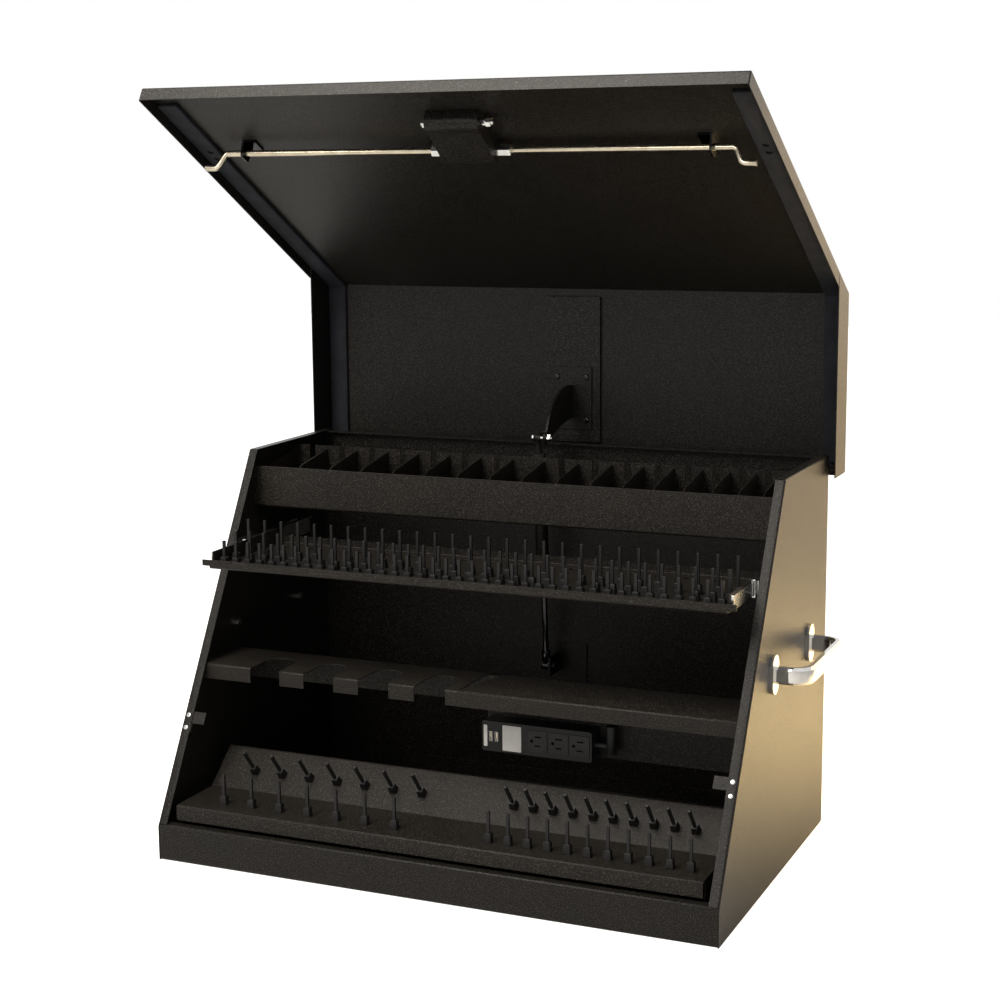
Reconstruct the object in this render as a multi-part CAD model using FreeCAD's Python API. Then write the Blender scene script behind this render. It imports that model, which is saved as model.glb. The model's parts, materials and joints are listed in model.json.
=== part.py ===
"""Portable tool workstation: a slant-front sheet-steel case with a two-panel lid that opens over the back.

Everything is drawn in millimetres from the middle of the case's front lower edge: X to the right, Y to the
back, Z up. Each node is moved on writing, so that the frame's origin is the middle of the case's underside.
The lid is drawn shut and then swung open, and the upper tray is drawn pushed in and then pulled out,
because the rest pose has the lid standing open and the tray out.
"""
import FreeCAD, Part
import math
import os

V = FreeCAD.Vector

# Case
WIDTH = 762.0
DEPTH = 480.0
HEIGHT = 509.0
KICK = 49.0              # height of the upright front strip
TOP_FRONT = 262.0        # how far back the flat top starts
SHEET = 1.5
FLANGE = 13.0            # inward flange round the case's mouth
LEDGE = 16.0             # level ledge behind the front strip
LEDGE_RETURN = 13.0
REAR_UPTURN = 24.0
BACK_RETURN = 14.0
BEND = 1.6               # inner radius of a folded edge
RIM = 1.0                # inner radius where a flange meets the wall it is bent from

# Lid, drawn shut
LID_WIDTH = 785.0
LID_GAP = 7.0            # lid's outer face above the case's top and slanted mouth
LID_FLANGE = 18.5        # side flange along the long panel
LID_REAR_FLANGE = 56.0   # side flange along the short panel
LID_LONG = 554.0         # long panel, from the upper bend to the lower edge
LID_FOOT = 17.5          # square flange along the long panel's lower edge
LID_RIM = 1.5            # rounding of the lid's outer side edges
SLIT = 2.0               # relief slit where the two side flanges meet
OPEN_ANGLE = 90.0
GASKET_WIDTH = 28.0
GASKET_CLEAR = 0.3

# Piano hinge on a rail across the back
HINGE_DROP = 25.0        # below the case's top
KNUCKLE_R = 4.0
PIN_R = 2.4
PIN_CLEAR = 0.05
LEAF = 2.0
RAIL_OFFSET = 11.0
RAIL_END = 11.0          # from the rail's end to the case's side
RAIL_DROP = 48.0         # rail's foot below the hinge
RAIL_STEP = 34.0
KNUCKLES = 7
KNUCKLE_GAP = 0.5

# Upper tray on two slides, drawn pushed in
TRAY_FRONT = 191.0
TRAY_DEPTH = 190.0
TRAY_Z = 371.0
TRAY_GAP = 24.5          # from the tray's side to the case's wall, for the slides
TRAY_LIP = 12.0
TRAY_EAR = 11.0          # how far the lip reaches past the tray's side
TRAY_SIDE = 22.0
TRAY_PULL = 85.0         # how far out it stands in the rest pose
SLIDE_GAP = 0.5
SLIDE_BAR = 4.0
SLIDE_LEN = 176.0
SLIDE_HEIGHT = 18.0
CHANNEL_WALL = 1.6

# Wrench rack
RACK_BACK = 95.0         # from the rack's rear to the case's back
RACK_DEPTH = 119.0
RACK_TOP = 485.0
RACK_FLOOR = 428.0
RACK_COMB_TOP = 499.0
BAY_END = 7.5            # from the last divider to the case's wall
BAY_GAP_LEFT = -34.0
BAY_GAP_RIGHT = 12.0
BAY_WIDE = 50.0          # widest and narrowest bay on the right, before they are fitted
BAY_NARROW = 30.0
LEFT_BAYS = 7
RIGHT_BAYS = 9
WRENCH_SLOT = 9.0
FIN = 1.5

# Mid-height deck
DECK_FRONT = 112.0
DECK_REAR = 209.0
DECK_Z = 239.5
DECK_LIP = 20.5
DECK_SPLIT = 2.0
SHELF_SLANT = 22.0       # how far the shelf's left end leans to the right at the back
DROP_PLATE = 96.0
RACK_DROP = 40.0
TOOL_FORKS = 4
FORK_WIDTH = 44.0
FORK_DEPTH = 62.0

# Lower tray
LOW_FRONT = 10.0
LOW_Z = 74.0
LOW_LIP = 20.0
LOW_SIDE = 21.5          # from the tray's end to the case's wall
LOW_TALL = 40.0
RAMP_TALL = 46.0
LOW_FLAT = 88.0
LOW_SLOPE = 40.0
LOW_RAMP = 72.0
LOW_LEFT = (-302.0, -54.0)
LOW_RIGHT = (75.0, 335.0)
LOW_RIGHT_RAMP = (75.0, 315.0)
LOW_PEG_Y = 28.0
RAMP_PEG = 30.0
LOW_LEFT_PEGS = 7
LOW_RIGHT_PEGS = 11
RAMP_RIGHT_PEGS = 10

# Socket posts
PEG_BASE = 10.0
PEG_BASE_H = 12.0
PEG_PIN = 3.6
FRONT_ROW = 19.0         # behind the tray's lip
MIDDLE_ROW = 50.0
REAR_ROW = 84.0
FRONT_TALL = 34.0
MIDDLE_TALL = 42.0
REAR_TALL = 52.0
FRONT_PEGS = 39
MIDDLE_PEGS = 33
REAR_PEGS = 28
DRIVER_HOLES = 18
DRIVER_HOLE = 11.0       # side of a square hole
DRIVER_HOLE_BACK = 22.0

# Power strip
STRIP_LEFT = 6.0
STRIP_LENGTH = 152.0
STRIP_HEIGHT = 40.0
STRIP_DEPTH = 30.0
STRIP_TOP = 184.0
OUTLETS = 3
OUTLET_FIRST = 78.0      # from the strip's left end
OUTLET_PITCH = 29.0
USB_X = 16.5
SLEEVE_X = 21.0          # past the strip's right end
SLEEVE_R = 7.0
SLEEVE_TALL = 36.0

# Latch, measured along the lid's long panel from its upper bend, and inward from its outer face
ROD_ALONG = 412.0
ROD_DEEP = 14.0
ROD_R = 4.0
CRANK = 20.0
CRANK_REST = 7.0         # degrees from straight inward, towards the bend
CRANK_X = 343.0
CRANK_LEAN = 9.0
CRANK_BEND = 8.0
TIP_X = 369.5
HUB_R = 5.0
HUB_CLEAR = 0.08
LATCH_X = 5.0            # the housing stands a little right of the middle
BODY_HALF = 35.0
ROLL_X = 8.0
ROLL_HIGH = 24.0
COUPLER_ACROSS = 6.5
COUPLER_LEFT = 16.0
COUPLER_RIGHT = 20.0
GUIDE_X = 314.0
HANDLE_ALONG = 446.0
STEM_R = 7.0
PLUG_R = 6.0
GRIP_HALF = 48.0
ROSE_HALF = 22.0
GRIP_R = 8.0

# Strikes behind the case's front flanges
STRIKE_ALONG = 380.0
STRIKE_TALL = 28.5
STRIKE_ARM = 16.0
STRIKE_X = 350.0
STRIKE_T = 3.0

# Gas strut
STUD_FORWARD = 60.0      # in front of the case's back
STUD_RISE = 37.0         # above the hinge
FOOT_FORWARD = 32.0
FOOT_Z = 190.0
STRUT_X = -12.0
TUBE_R = 9.0
TUBE_LEN = 172.0
STRUT_ROD_R = 4.0
EYE_R = 6.5
EYE_HALF = 4.5
SHOULDER_R = 4.0
STRUT_CLEAR = 0.08
TUBE_START = 22.0        # from the stud down to the tube
STRUT_CHANNEL_HALF = 41.5
STRUT_CHANNEL_DEEP = 5.0
BRACKET_HALF = 30.0
BRACKET_T = 3.0
BRACKET_ROW_LOW = 14.0   # above the stud
BRACKET_ROW_HIGH = 75.0
BRACKET_EDGE = 14.0
ARM_T = 4.0
ARM_ROOT_LOW = 17.0
ARM_ROOT_HIGH = 63.0

# Side pulls
PULL_FRONT = 213.0
PULL_SPAN = 174.0
PULL_Z = 274.0
PULL_OUT = 50.0
PULL_TALL = 22.0
PULL_THICK = 12.0
PULL_CHAMFER = 3.5
PULL_BEND = 22.0
FOOT_LONG = 50.0
FOOT_WIDE = 26.0
FOOT_THICK = 5.0
BOLT_R = 3.0
BOLT_HEAD = 4.5

# Worked-out places
HALF = WIDTH / 2
INNER = HALF - SHEET
LID_HALF = LID_WIDTH / 2
SLANT = math.atan2(TOP_FRONT, HEIGHT - KICK)
SIN, COS, TAN = math.sin(SLANT), math.cos(SLANT), math.tan(SLANT)
HINGE_Y = DEPTH + RAIL_OFFSET + KNUCKLE_R
HINGE_Z = HEIGHT - HINGE_DROP
TRAY_HALF = INNER - TRAY_GAP
RAIL_HALF = HALF - RAIL_END
RACK_REAR = DEPTH - RACK_BACK
RACK_FRONT = RACK_REAR - RACK_DEPTH
LOW_HALF = INNER - LOW_SIDE
STUD_Y = DEPTH - STUD_FORWARD
STUD_Z = HINGE_Z + STUD_RISE
FOOT_Y = DEPTH - FOOT_FORWARD
LID_TOP = HEIGHT + LID_GAP
LID_REAR = HINGE_Y + KNUCKLE_R + SHEET
BEND_Y = TOP_FRONT - LID_GAP * (1 - SIN) / COS
HINGE = V(0, HINGE_Y, HINGE_Z)
X_AXIS, Y_AXIS, Z_AXIS = V(1, 0, 0), V(0, 1, 0), V(0, 0, 1)


def box(x0, x1, y0, y1, z0, z1):
    """A block between two corners."""
    return Part.makeBox(x1 - x0, y1 - y0, z1 - z0, V(x0, y0, z0))


def cylinder(start, axis, radius, length):
    return Part.makeCylinder(radius, length, start, axis)


def rounded(points, radii):
    """A closed wire through the points, with a tangent arc at each point whose radius isn't nought."""
    count = len(points)
    corners = []
    for i, p in enumerate(points):
        if radii[i] == 0:
            corners.append((p, None, p))
            continue
        before = (p - points[i - 1]).normalize()
        after = (points[(i + 1) % count] - p).normalize()
        half_turn = before.getAngle(after) / 2
        reach = radii[i] * math.tan(half_turn)
        middle = p + (after - before).normalize() * (radii[i] / math.cos(half_turn) - radii[i])
        corners.append((p - before * reach, middle, p + after * reach))
    edges = []
    for i, (start, middle, end) in enumerate(corners):
        if middle:
            edges.append(Part.Arc(start, middle, end).toShape())
        edges.append(Part.LineSegment(end, corners[(i + 1) % count][0]).toShape())
    return Part.Wire(edges)


def plate(points, x0, x1, radii=None):
    """A side outline, given as (y, z) points with the radius of each, extruded along X."""
    corners = [V(x0, y, z) for y, z in points]
    wire = rounded(corners, radii or [0] * len(points))
    return Part.Face(wire).extrude(V(x1 - x0, 0, 0))


def fold(points, thickness, x0, x1, bend=BEND):
    """A folded strip: the points are its outer line, and the metal lies to the left of it."""
    inner = []
    outer_radii, inner_radii = [], []
    for i, (y, z) in enumerate(points):
        runs = []
        for a, b in ((i - 1, i), (i, i + 1)):
            if 0 <= a and b < len(points):
                dy, dz = points[b][0] - points[a][0], points[b][1] - points[a][1]
                length = math.hypot(dy, dz)
                runs.append((dy / length, dz / length))
        ny, nz = -sum(run[1] for run in runs), sum(run[0] for run in runs)
        scale = thickness * len(runs) / (ny * ny + nz * nz)
        inner.append((y + ny * scale, z + nz * scale))
        turn = runs[0][0] * runs[-1][1] - runs[0][1] * runs[-1][0]
        outer_radii.append(0 if turn == 0 else bend + thickness if turn > 0 else bend)
        inner_radii.append(0 if turn == 0 else bend if turn > 0 else bend + thickness)
    return plate(list(points) + inner[::-1], x0, x1, outer_radii + inner_radii[::-1])


def along_x(shape, x, low, back):
    """The edges at one X that lie above a height and in front of a depth."""
    found = []
    for edge in shape.Edges:
        middle = edge.valueAt((edge.FirstParameter + edge.LastParameter) / 2)
        if all(abs(v.X - x) < 0.001 for v in edge.Vertexes) and middle.z > low and middle.y < back:
            found.append(edge)
    return found


def join(*shapes):
    """One solid out of overlapping or touching pieces."""
    result = shapes[0].fuse(list(shapes[1:])).removeSplitter()
    return result


def group(shapes):
    return Part.makeCompound(shapes)


def mirror(shape):
    """The same piece on the other side of the middle."""
    return shape.mirror(V(0, 0, 0), X_AXIS)


def on_lid(along, deep):
    """The (y, z) of a point on the shut lid's long panel."""
    return BEND_Y - along * SIN + deep * COS, LID_TOP - along * COS - deep * SIN


def lid_plate(points, x0, x1, radii=None):
    """A side outline given as (along, deep) points on the long panel."""
    return plate([on_lid(a, d) for a, d in points], x0, x1, radii)


def swing_open(shape):
    """Turns a piece that was drawn on the shut lid into the rest pose."""
    moved = shape.copy()
    moved.rotate(HINGE, X_AXIS, -OPEN_ANGLE)
    return moved


def pull_out(shape):
    """Moves a piece that was drawn on the pushed-in tray into the rest pose."""
    moved = shape.copy()
    moved.translate(V(0, -TRAY_PULL, 0))
    return moved


def write(name, shape):
    """Puts one node in the part's frame and saves it."""
    placed = shape.copy()
    placed.translate(V(0, -DEPTH / 2, 0))
    placed.exportStep("parts/" + name + ".step")
    solids = placed.Solids
    box_ = placed.BoundBox
    print("%-24s %3d solids  %9.1f cm3  valid %s  x %.1f..%.1f y %.1f..%.1f z %.1f..%.1f" % (
        name, len(solids), placed.Volume / 1000, placed.isValid(),
        box_.XMin, box_.XMax, box_.YMin, box_.YMax, box_.ZMin, box_.ZMax))


# Case shell

def side_panel():
    """The right wall, with its inward flange bent round the slanted mouth and the top."""
    foot = (-2 * KICK * TAN, -KICK)
    outline = [foot, (DEPTH, -KICK), (DEPTH, HEIGHT), (TOP_FRONT, HEIGHT)]
    wall = plate(outline, INNER, HALF, [0, 0, 0, BEND + SHEET])
    lips = fold([(DEPTH, HEIGHT), (TOP_FRONT, HEIGHT), foot], SHEET, HALF - FLANGE, INNER)
    panel = join(wall, lips).cut(box(0, WIDTH, -WIDTH, WIDTH, -WIDTH, 0))
    panel = panel.makeFillet(RIM + SHEET, along_x(panel, HALF, 1, DEPTH - 1))
    panel = panel.makeFillet(RIM, along_x(panel, INNER, 1, DEPTH - 1))
    panel = panel.cut(box(0, WIDTH, -WIDTH, 0, -1, HEIGHT))
    panel = panel.cut(box(0, INNER, -WIDTH, WIDTH, -WIDTH, KICK))
    for y in pull_feet():
        panel = panel.cut(cylinder(V(INNER - 1, y, PULL_Z), X_AXIS, BOLT_R + 0.1, SHEET + 2))
    return panel


def base_pan():
    line = [(LEDGE, KICK - LEDGE_RETURN), (LEDGE, KICK), (0, KICK), (0, 0),
            (DEPTH - SHEET, 0), (DEPTH - SHEET, REAR_UPTURN)]
    return fold(line, SHEET, -INNER, INNER)


def back_panel():
    top = HEIGHT - SHEET
    panel = fold([(DEPTH, 0), (DEPTH, top), (DEPTH - BACK_RETURN, top)], SHEET, -INNER, INNER)
    notch = box(INNER - RIM, HALF, 0, DEPTH, top - RIM, HEIGHT)
    return panel.cut(notch).cut(mirror(notch))


def hinge_rail():
    foot = HINGE_Z - RAIL_DROP
    step = HINGE_Z - RAIL_STEP
    line = [(DEPTH + LEAF, foot), (DEPTH + LEAF, step),
            (DEPTH + RAIL_OFFSET, step), (DEPTH + RAIL_OFFSET, HINGE_Z - 8)]
    return fold(line, LEAF, -RAIL_HALF, RAIL_HALF)


# Hinge

def knuckle_spans(turn):
    """The X spans of every second knuckle, starting with the fixed leaf's for turn 0."""
    pitch = 2 * RAIL_HALF / KNUCKLES
    for i in range(turn, KNUCKLES, 2):
        yield -RAIL_HALF + i * pitch + KNUCKLE_GAP / 2, -RAIL_HALF + (i + 1) * pitch - KNUCKLE_GAP / 2


def knuckles(turn, web):
    """Rolled knuckles with the strip of leaf that reaches them, bored for the pin."""
    pieces = []
    for x0, x1 in knuckle_spans(turn):
        barrel = cylinder(V(x0, HINGE_Y, HINGE_Z), X_AXIS, KNUCKLE_R, x1 - x0)
        y0, y1, z0, z1 = web
        pieces.append(barrel.fuse(box(x0, x1, y0, y1, z0, z1)))
    return pieces


def bored(leaf):
    bore = cylinder(V(-HALF, HINGE_Y, HINGE_Z), X_AXIS, PIN_R + PIN_CLEAR, WIDTH)
    return leaf.cut(bore)


def hinge_leaf_case():
    inner = HINGE_Y - KNUCKLE_R
    leaf = box(-RAIL_HALF, RAIL_HALF, inner, inner + LEAF, HINGE_Z - 30, HINGE_Z - KNUCKLE_R - KNUCKLE_GAP)
    return bored(join(leaf, *knuckles(0, (inner, inner + LEAF, HINGE_Z - KNUCKLE_R - 1, HINGE_Z))))


def hinge_leaf_lid():
    outer = HINGE_Y + KNUCKLE_R
    leaf = box(-RAIL_HALF, RAIL_HALF, outer - LEAF, outer, HINGE_Z + KNUCKLE_R + KNUCKLE_GAP, LID_TOP - 6)
    return bored(join(leaf, *knuckles(1, (outer - LEAF, outer, HINGE_Z, HINGE_Z + KNUCKLE_R + 1))))


def hinge_pin():
    return cylinder(V(-RAIL_HALF - 1, HINGE_Y, HINGE_Z), X_AXIS, PIN_R, 2 * RAIL_HALF + 2)


# Lid

def lid_outline():
    """The outer line of the sheet, from the hinge over both panels to the end of the square flange."""
    return [(LID_REAR, HINGE_Z + KNUCKLE_R + KNUCKLE_GAP), (LID_REAR, LID_TOP), (BEND_Y, LID_TOP),
            on_lid(LID_LONG, 0), on_lid(LID_LONG, LID_FOOT)]


def lid_shell():
    """The folded two-panel skin, with a flange down each side and its outer edges rounded."""
    skin = fold(lid_outline(), SHEET, -LID_HALF, LID_HALF)
    low = LID_TOP - LID_REAR_FLANGE
    corner = BEND_Y - LID_REAR_FLANGE * TAN
    reach = LID_FLANGE / COS
    flange = [(LID_REAR, LID_TOP), (BEND_Y, LID_TOP), on_lid(LID_LONG, 0), on_lid(LID_LONG, LID_FOOT),
              on_lid(LID_LONG - SLIT, LID_FLANGE), (corner + reach, low), (LID_REAR, low)]
    outer = BEND + SHEET
    side = plate(flange, LID_HALF - SHEET, LID_HALF, [outer, outer, outer, 0, 0, 0, 0])
    side = side.cut(box(0, LID_WIDTH, corner + 2 * SHEET, corner + reach + 2, low - SLIT, low))
    shell = join(skin, side, mirror(side))
    for x in (-LID_HALF, LID_HALF):
        rim = [edge for edge in along_x(shell, x, -HEIGHT, LID_REAR - 1) if on_panels(edge)]
        shell = shell.makeFillet(LID_RIM, rim)
    return shell.cut(cylinder(*handle_axis(-2), STEM_R + HUB_CLEAR, 6))


def on_panels(edge):
    """Whether an edge lies in the outer face of either lid panel, or in the bend between them."""
    middle = edge.valueAt((edge.FirstParameter + edge.LastParameter) / 2)
    below = (V(0, BEND_Y, LID_TOP) - middle).dot(V(0, -COS, SIN))
    return min(abs(below), LID_TOP - middle.z) < 1


def gasket():
    """One foam strip that follows the lid's side, on the inner face of both panels."""
    thickness = LID_GAP - SHEET - GASKET_CLEAR
    inside = SHEET * (1 - SIN) / COS
    start = KICK + 16
    y0 = BEND_Y + inside - (LID_TOP - SHEET - start) * TAN
    line = [(LID_REAR - 14, LID_TOP - SHEET), (BEND_Y + inside, LID_TOP - SHEET), (y0, start)]
    edge = LID_HALF - SHEET - BEND
    return fold(line, thickness, edge - GASKET_WIDTH, edge, 0)


def handle_axis(deep):
    """A start point at a depth on the turn handle's axis, and the inward direction."""
    y, z = on_lid(HANDLE_ALONG, deep)
    return V(0, y, z), V(0, COS, -SIN)


# Strut bracket on the lid's short panel, drawn shut

def shut(y, z):
    """Takes a (y, z) of the rest pose back to the shut lid."""
    return HINGE_Y - (z - HINGE_Z), HINGE_Z + (y - HINGE_Y)


def strut_channel():
    under = LID_TOP - SHEET
    wall = SHEET
    x = STRUT_CHANNEL_HALF
    y0, y1 = BEND_Y + 12, LID_REAR - 24
    hat = box(-x, x, y0, y1, under - STRUT_CHANNEL_DEEP, under)
    hollow = box(-x + wall, x - wall, y0 - 1, y1 + 1, under - STRUT_CHANNEL_DEEP + wall, under + 1)
    return hat.cut(hollow)


def above_stud(rise):
    """The shut lid's Y of a place that is this far above the stud in the rest pose."""
    return shut(0, STUD_Z + rise)[0]


def strut_bracket():
    """A screwed plate with one curved arm that reaches down to the strut's stud."""
    face = LID_TOP - SHEET - STRUT_CHANNEL_DEEP
    y0 = above_stud(BRACKET_ROW_HIGH) - BRACKET_EDGE
    y1 = above_stud(BRACKET_ROW_LOW) + BRACKET_EDGE
    base = box(-BRACKET_HALF, BRACKET_HALF, y0, y1, face - BRACKET_T, face)
    a = V(0, above_stud(ARM_ROOT_HIGH), face - BRACKET_T)
    b = V(0, above_stud(ARM_ROOT_LOW), face - BRACKET_T)
    tip = V(0, *shut(STUD_Y, STUD_Z))
    low = tip + V(0, -8.5, -1)
    high = tip + V(0, 8.5, -1)
    front = Part.Arc(a, (a + low) * 0.5 - V(0, 14, 16), low).toShape()
    end = Part.Arc(low, tip - V(0, 0, 9), high).toShape()
    rear = Part.Arc(high, (b + high) * 0.5 - V(0, 2, 12), b).toShape()
    root = Part.LineSegment(b, a).toShape()
    arm = Part.Face(Part.Wire([front, end, rear, root])).extrude(V(ARM_T, 0, 0))
    arm.translate(V(-ARM_T / 2, 0, 0))
    hole = cylinder(tip - V(ARM_T, 0, 0), X_AXIS, 3.05, 2 * ARM_T)
    return join(base, arm).cut(hole)


def lid_stud():
    """The shoulder bolt through the arm that carries the strut's eye, with its head and its nut."""
    tip = V(0, *shut(STUD_Y, STUD_Z))
    eye_end = STRUT_X - EYE_HALF - 0.5
    head = cylinder(tip + V(eye_end - 2.5, 0, 0), X_AXIS, 6.0, 2.5)
    shoulder = cylinder(tip + V(eye_end, 0, 0), X_AXIS, SHOULDER_R, -eye_end - ARM_T / 2)
    shank = cylinder(tip - V(ARM_T / 2, 0, 0), X_AXIS, 3.0, ARM_T + 7)
    nut = hexagon(tip + V(ARM_T / 2, 0, 0), X_AXIS, 5.5, 5.0)
    return join(head, shoulder, shank, nut)


def hexagon(start, axis, across, length):
    """A six-sided nut or head along an axis."""
    ring = [V(across / math.cos(math.pi / 6) * math.cos(math.pi / 3 * i),
              across / math.cos(math.pi / 6) * math.sin(math.pi / 3 * i), 0) for i in range(6)]
    prism = Part.Face(Part.makePolygon(ring + ring[:1])).extrude(V(0, 0, length))
    prism.Placement = FreeCAD.Placement(start, FreeCAD.Rotation(Z_AXIS, axis))
    return prism


# Gas strut, drawn in the rest pose

def strut_line():
    """The strut's upper end, its direction down to the foot, and its length."""
    top = V(STRUT_X, STUD_Y, STUD_Z)
    foot = V(STRUT_X, FOOT_Y, FOOT_Z)
    direction = foot - top
    length = direction.Length
    direction.normalize()
    return top, direction, length


def strut_cylinder():
    top, down, length = strut_line()
    start = top + down * TUBE_START
    tube = cylinder(start, down, TUBE_R, TUBE_LEN)
    tube = tube.cut(cylinder(start + down * 4, down, STRUT_ROD_R + STRUT_CLEAR, TUBE_LEN))
    eye = cylinder(top - V(EYE_HALF, 0, 0), X_AXIS, EYE_R, 2 * EYE_HALF)
    neck = cylinder(top + down * 3, down, 3.6, TUBE_START - 2)
    bore = cylinder(top - V(EYE_R, 0, 0), X_AXIS, SHOULDER_R + STRUT_CLEAR, 2 * EYE_R)
    return join(tube, join(eye, neck).cut(bore))


def strut_rod():
    top, down, length = strut_line()
    foot = top + down * length
    rod = cylinder(foot - down * 12, down * -1, STRUT_ROD_R, length - TUBE_START - TUBE_LEN + 28)
    neck = cylinder(foot - down * 22, down, 6.0, 18)
    eye = cylinder(foot - V(EYE_R, 0, 0), X_AXIS, EYE_R, 2 * EYE_R - 1)
    return join(rod, neck, eye)


def strut_foot():
    """The angle bracket on the back panel whose stud stops just short of the rod's eye."""
    face = DEPTH - SHEET
    x0 = STRUT_X + EYE_R - 1 + 0.5
    base = box(x0, x0 + 44, face - 3, face, FOOT_Z - 28, FOOT_Z + 28)
    ear = box(x0, x0 + 3, FOOT_Y - 9, face, FOOT_Z - 14, FOOT_Z + 14)
    collar = cylinder(V(x0 + 3, FOOT_Y, FOOT_Z), X_AXIS, 5.5, 5)
    return join(base, ear, collar)


# Latch, drawn shut

def latch_body():
    """The cast housing on the long panel's inner face: a wedge over the rods' axis, and a roll above it."""
    foot, top = ROD_ALONG - 8, HANDLE_ALONG + 18
    wedge = [(foot, SHEET), (foot, 30), (top, 20), (top, SHEET)]
    lower = lid_plate(wedge, LATCH_X - BODY_HALF, LATCH_X + BODY_HALF, [0, 5, 0, 0])
    roll = [(top - 1, SHEET), (top - 1, ROLL_HIGH), (top + ROLL_HIGH, ROLL_HIGH), (top + ROLL_HIGH, SHEET)]
    upper = lid_plate(roll, ROLL_X - BODY_HALF, ROLL_X + BODY_HALF, [0, 9, 11, 0])
    body = join(lower, upper)
    body = body.cut(across(ROD_ALONG, ROD_DEEP, -WIDTH / 4, WIDTH / 4, HUB_R + HUB_CLEAR))
    body = body.cut(across(*roll_bolt(), -WIDTH / 4, WIDTH / 4, 3.05))
    start, inward = handle_axis(-2)
    return body.cut(cylinder(start, inward, STEM_R + HUB_CLEAR, 9))


def across(along, deep, x0, x1, radius):
    """A round bar along X at a point of the long panel."""
    return cylinder(V(x0, *on_lid(along, deep)), X_AXIS, radius, x1 - x0)


def roll_bolt():
    """The (along, deep) of the bolt through the roll."""
    return HANDLE_ALONG + 18 + ROLL_HIGH / 2, ROLL_HIGH / 2 + 1


def latch_bolt():
    """The bolt through the roll: a nut against its left end, a spacer and a nut at its right."""
    left, right = ROLL_X - BODY_HALF, ROLL_X + BODY_HALF
    bolt = across(*roll_bolt(), left - 8, right + 17, 3.0)
    spacer = across(*roll_bolt(), right, right + 8, 5.0)
    y, z = on_lid(*roll_bolt())
    nuts = [hexagon(V(x, y, z), X_AXIS, 5.0, 6) for x in (left - 6, right + 8)]
    return join(bolt, spacer, *nuts)


def coupler_ends():
    """The X where the rods' couplers start and end, as (inner, outer) for the left and for the right."""
    left, right = LATCH_X - BODY_HALF, LATCH_X + BODY_HALF
    return (left, left - COUPLER_LEFT), (right, right + COUPLER_RIGHT)


def latch_hub():
    """The shaft through the housing, with a bored six-sided coupler at each end."""
    y, z = on_lid(ROD_ALONG, ROD_DEEP)
    (left_in, left_out), (right_in, right_out) = coupler_ends()
    shaft = across(ROD_ALONG, ROD_DEEP, left_in, right_in, HUB_R)
    shape = join(shaft, hexagon(V(left_out, y, z), X_AXIS, COUPLER_ACROSS, left_in - left_out),
                 hexagon(V(right_in, y, z), X_AXIS, COUPLER_ACROSS, right_out - right_in))
    shape = shape.cut(across(ROD_ALONG, ROD_DEEP, left_out - 1, left_in - 3, ROD_R + 0.02))
    return shape.cut(across(ROD_ALONG, ROD_DEEP, right_in + 3, right_out + 1, ROD_R + 0.02))


def crank_point(angle, radius):
    """The (y, z) at a distance from the rods' axis, an angle from straight inward towards the bend."""
    a = math.radians(angle)
    return on_lid(ROD_ALONG - radius * math.sin(a), ROD_DEEP + radius * math.cos(a))


def bent_bar(section, line, bend):
    """A face extruded along the straight runs of a line, and turned about each bend between them."""
    face, at = section, line[0]
    pieces = []
    for i in range(1, len(line)):
        before = (line[i] - at).normalize()
        after = (line[i + 1] - line[i]).normalize() if i + 1 < len(line) else before
        turn = before.getAngle(after)
        step = before * ((line[i] - at).Length - bend * math.tan(turn / 2))
        pieces.append(face.extrude(step))
        face = face.copy()
        face.translate(step)
        at = at + step
        if turn:
            axis = before.cross(after).normalize()
            centre = at + axis.cross(before) * bend
            pieces.append(face.revolve(centre, axis, math.degrees(turn)))
            face.rotate(centre, axis, math.degrees(turn))
            at = centre + FreeCAD.Rotation(axis, math.degrees(turn)).multVec(at - centre)
    return join(*pieces)


def latch_rod(inner_end):
    """A right-hand rod: straight out of its coupler, through the guide, then an S-shaped crank end."""
    y0, z0 = on_lid(ROD_ALONG, ROD_DEEP)
    y1, z1 = crank_point(CRANK_REST, CRANK)
    line = [V(inner_end, y0, z0), V(CRANK_X, y0, z0), V(CRANK_X + CRANK_LEAN, y1, z1), V(TIP_X, y1, z1)]
    ring = Part.Wire([Part.Circle(line[0], X_AXIS, ROD_R).toShape()])
    return bent_bar(Part.Face(ring), line, CRANK_BEND)


def rod_guide():
    """An angle bracket on the long panel, with the rod's hole in its standing leg."""
    x0, x1 = GUIDE_X - 1.5, GUIDE_X + 1.5
    top = ROD_DEEP + ROD_R + 5
    low, high = ROD_ALONG - 13, ROD_ALONG + 13
    leg = lid_plate([(low, SHEET), (low + 4, top), (high - 4, top), (high, SHEET)], x0, x1, [0, 4, 4, 0])
    foot = lid_plate([(low, SHEET), (low, SHEET + 2.5), (high, SHEET + 2.5), (high, SHEET)], x0 - 16, x1)
    y, z = on_lid(ROD_ALONG, ROD_DEEP)
    hole = cylinder(V(x0 - 1, y, z), X_AXIS, ROD_R + 0.1, 5)
    return join(leg, foot).cut(hole)


def turn_handle():
    """The T-shaped grip on the lid's outside, with its stem through the panel."""
    start, inward = handle_axis(0)
    stem = cylinder(start - inward * 10, inward, STEM_R, 16)
    bar = plate(chamfered(GRIP_R, GRIP_R, GRIP_R * 0.45), -GRIP_HALF, GRIP_HALF)
    boss = Part.makeCylinder(13, 14, V(0, 0, -5), Z_AXIS)
    grip = join(bar, boss)
    grip.Placement = FreeCAD.Placement(start - inward * 15, FreeCAD.Rotation(Z_AXIS, inward * -1))
    return join(stem, grip).cut(cylinder(start - inward * 30, inward, PLUG_R + HUB_CLEAR, 22))


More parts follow.
